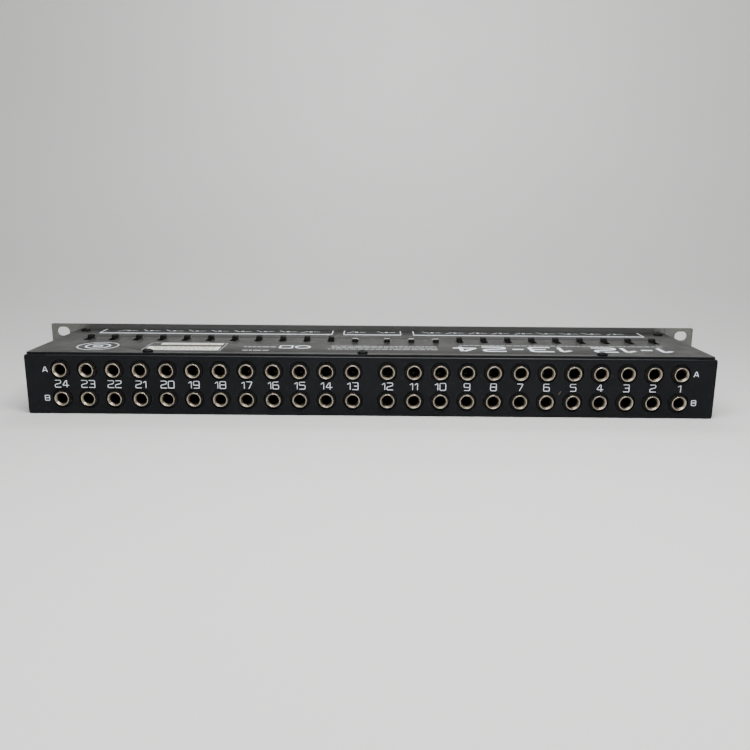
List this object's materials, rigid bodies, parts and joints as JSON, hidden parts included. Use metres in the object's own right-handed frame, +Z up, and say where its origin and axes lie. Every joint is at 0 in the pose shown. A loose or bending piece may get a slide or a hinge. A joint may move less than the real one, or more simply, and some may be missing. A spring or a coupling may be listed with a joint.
{
  "type": "audio patch bay",
  "caption": "One-unit rack patch bay: folded black steel case, rack-ear front panel, rows A and B of quarter-inch jacks front and rear, and a slide switch per channel on top.",
  "frame": {"origin": "middle of the footprint at the level of the case's underside, which is also the panel's lower edge", "axes": "+X to the right seen from the front, -Y out of the front panel, +Y out of the rear jacks, +Z up"},
  "size_m": [0.4826, 0.0992, 0.0437],
  "materials": {
    "black_paint": "satin black paint on folded steel",
    "panel_metal": "matt, bare at the back of the ears",
    "jack_plastic": "moulded",
    "bushing_metal": "warm nickel plate",
    "circuit_board": "solder mask",
    "plain_steel": "zinc plate",
    "post_brass": "turned",
    "lever_plastic": "moulded",
    "black_screw": "black oxide",
    "print_ink": "screen print",
    "label_paper": "satin label"
  },
  "bodies": {
    "casing": {"board_post_13_24_1": "post_brass", "board_post_13_24_2": "post_brass", "board_post_1_12_1": "post_brass", "board_post_1_12_2": "post_brass", "board_screw_13_24_1": "plain_steel", "board_screw_13_24_2": "plain_steel", "board_screw_1_12_1": "plain_steel", "board_screw_1_12_2": "plain_steel", "chassis_tray": "black_paint", "cover_screw_front_left": "black_screw", "cover_screw_front_right": "black_screw", "cover_screw_rear_1": "black_screw", "cover_screw_rear_2": "black_screw", "cover_screw_rear_3": "black_screw", "front_jacks_a_13_24": "jack_plastic", "front_jacks_a_1_12": "jack_plastic", "front_jacks_b_13_24": "jack_plastic", "front_jacks_b_1_12": "jack_plastic", "front_panel": "panel_metal", "main_board_13_24": "circuit_board", "main_board_1_12": "circuit_board", "panel_screw_left": "black_screw", "panel_screw_right": "black_screw", "rear_jacks_a_13_24": "jack_plastic", "rear_jacks_a_1_12": "jack_plastic", "rear_jacks_b_13_24": "jack_plastic", "rear_jacks_b_1_12": "jack_plastic", "switch_board_13_24": "circuit_board", "switch_board_1_12": "circuit_board", "switch_frames_13_24": "plain_steel", "switch_frames_1_12": "plain_steel", "switch_header_13_24": "jack_plastic", "switch_header_1_12": "jack_plastic", "top_cover": "black_paint"},
    "lever_01": {"switch_lever_01": "lever_plastic"},
    "lever_02": {"switch_lever_02": "lever_plastic"},
    "lever_03": {"switch_lever_03": "lever_plastic"},
    "lever_04": {"switch_lever_04": "lever_plastic"},
    "lever_05": {"switch_lever_05": "lever_plastic"},
    "lever_06": {"switch_lever_06": "lever_plastic"},
    "lever_07": {"switch_lever_07": "lever_plastic"},
    "lever_08": {"switch_lever_08": "lever_plastic"},
    "lever_09": {"switch_lever_09": "lever_plastic"},
    "lever_10": {"switch_lever_10": "lever_plastic"},
    "lever_11": {"switch_lever_11": "lever_plastic"},
    "lever_12": {"switch_lever_12": "lever_plastic"},
    "lever_13": {"switch_lever_13": "lever_plastic"},
    "lever_14": {"switch_lever_14": "lever_plastic"},
    "lever_15": {"switch_lever_15": "lever_plastic"},
    "lever_16": {"switch_lever_16": "lever_plastic"},
    "lever_17": {"switch_lever_17": "lever_plastic"},
    "lever_18": {"switch_lever_18": "lever_plastic"},
    "lever_19": {"switch_lever_19": "lever_plastic"},
    "lever_20": {"switch_lever_20": "lever_plastic"},
    "lever_21": {"switch_lever_21": "lever_plastic"},
    "lever_22": {"switch_lever_22": "lever_plastic"},
    "lever_23": {"switch_lever_23": "lever_plastic"},
    "lever_24": {"switch_lever_24": "lever_plastic"}
  },
  "joints": [
    {"name": "lever_01_slide", "type": "slide", "parent": "casing", "child": "lever_01", "axis": [0, 1, 0], "range_m": [0, 0.008]},
    {"name": "lever_02_slide", "type": "slide", "parent": "casing", "child": "lever_02", "axis": [0, 1, 0], "range_m": [0, 0.008]},
    {"name": "lever_03_slide", "type": "slide", "parent": "casing", "child": "lever_03", "axis": [0, 1, 0], "range_m": [0, 0.008]},
    {"name": "lever_04_slide", "type": "slide", "parent": "casing", "child": "lever_04", "axis": [0, 1, 0], "range_m": [0, 0.008]},
    {"name": "lever_05_slide", "type": "slide", "parent": "casing", "child": "lever_05", "axis": [0, 1, 0], "range_m": [0, 0.008]},
    {"name": "lever_06_slide", "type": "slide", "parent": "casing", "child": "lever_06", "axis": [0, 1, 0], "range_m": [0, 0.008]},
    {"name": "lever_07_slide", "type": "slide", "parent": "casing", "child": "lever_07", "axis": [0, 1, 0], "range_m": [0, 0.008]},
    {"name": "lever_08_slide", "type": "slide", "parent": "casing", "child": "lever_08", "axis": [0, 1, 0], "range_m": [0, 0.008]},
    {"name": "lever_09_slide", "type": "slide", "parent": "casing", "child": "lever_09", "axis": [0, 1, 0], "range_m": [0, 0.008]},
    {"name": "lever_10_slide", "type": "slide", "parent": "casing", "child": "lever_10", "axis": [0, 1, 0], "range_m": [-0.008, 0]},
    {"name": "lever_11_slide", "type": "slide", "parent": "casing", "child": "lever_11", "axis": [0, 1, 0], "range_m": [-0.008, 0]},
    {"name": "lever_12_slide", "type": "slide", "parent": "casing", "child": "lever_12", "axis": [0, 1, 0], "range_m": [-0.008, 0]},
    {"name": "lever_13_slide", "type": "slide", "parent": "casing", "child": "lever_13", "axis": [0, 1, 0], "range_m": [-0.008, 0]},
    {"name": "lever_14_slide", "type": "slide", "parent": "casing", "child": "lever_14", "axis": [0, 1, 0], "range_m": [0, 0.008]},
    {"name": "lever_15_slide", "type": "slide", "parent": "casing", "child": "lever_15", "axis": [0, 1, 0], "range_m": [0, 0.008]},
    {"name": "lever_16_slide", "type": "slide", "parent": "casing", "child": "lever_16", "axis": [0, 1, 0], "range_m": [0, 0.008]},
    {"name": "lever_17_slide", "type": "slide", "parent": "casing", "child": "lever_17", "axis": [0, 1, 0], "range_m": [0, 0.008]},
    {"name": "lever_18_slide", "type": "slide", "parent": "casing", "child": "lever_18", "axis": [0, 1, 0], "range_m": [0, 0.008]},
    {"name": "lever_19_slide", "type": "slide", "parent": "casing", "child": "lever_19", "axis": [0, 1, 0], "range_m": [0, 0.008]},
    {"name": "lever_20_slide", "type": "slide", "parent": "casing", "child": "lever_20", "axis": [0, 1, 0], "range_m": [0, 0.008]},
    {"name": "lever_21_slide", "type": "slide", "parent": "casing", "child": "lever_21", "axis": [0, 1, 0], "range_m": [0, 0.008]},
    {"name": "lever_22_slide", "type": "slide", "parent": "casing", "child": "lever_22", "axis": [0, 1, 0], "range_m": [0, 0.008]},
    {"name": "lever_23_slide", "type": "slide", "parent": "casing", "child": "lever_23", "axis": [0, 1, 0], "range_m": [0, 0.008]},
    {"name": "lever_24_slide", "type": "slide", "parent": "casing", "child": "lever_24", "axis": [0, 1, 0], "range_m": [0, 0.008]}
  ]
}
